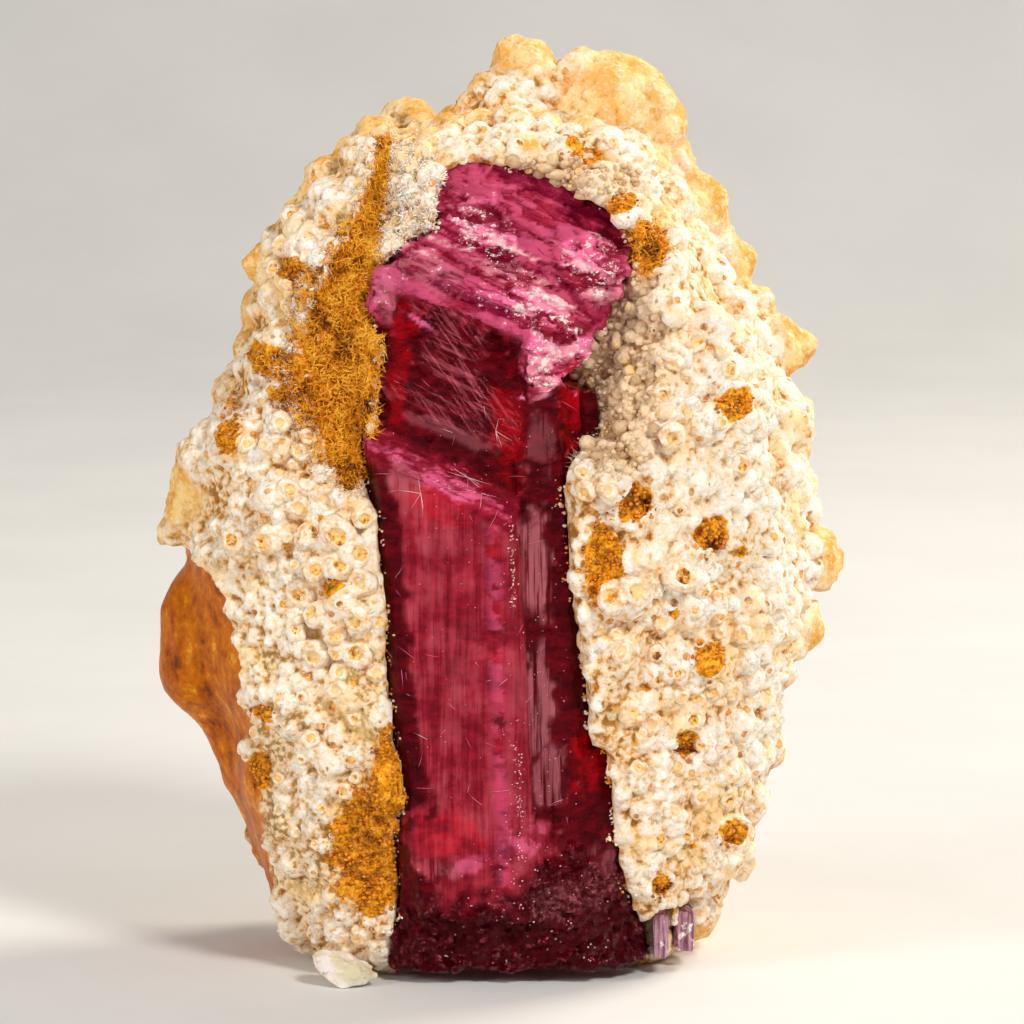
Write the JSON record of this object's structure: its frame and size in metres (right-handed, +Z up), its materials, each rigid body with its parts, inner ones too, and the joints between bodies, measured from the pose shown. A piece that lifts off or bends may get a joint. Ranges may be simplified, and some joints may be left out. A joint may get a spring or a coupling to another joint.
{
  "type": "rhodonite on matrix",
  "caption": "Upright cabinet specimen: a deep red prismatic rhodonite crystal held in the open front of a knobbly cream and ochre mineral crust, on a flat underside.",
  "frame": {"origin": "under the middle of the specimen's bounding box, on the plane of its flat underside", "axes": "+Z up along the crystal, -Y towards someone who faces the crystal, +X to their right"},
  "size_m": [0.0352, 0.0232, 0.0469],
  "materials": {
    "cream_crust": "rough botryoidal crust, cream with ochre hollows",
    "rhodonite_red": "deep red, clear to cloudy, vitreous faces and rough broken ends",
    "mauve_bar": "dull mauve cleavage face",
    "pale_flake": "translucent cream chip, satin"
  },
  "bodies": {
    "root": {"matrix": "cream_crust", "rhodonite_crystal": "rhodonite_red", "mauve_crystal_inner": "mauve_bar", "mauve_crystal_outer": "mauve_bar", "pale_chip": "pale_flake"}
  },
  "joints": []
}
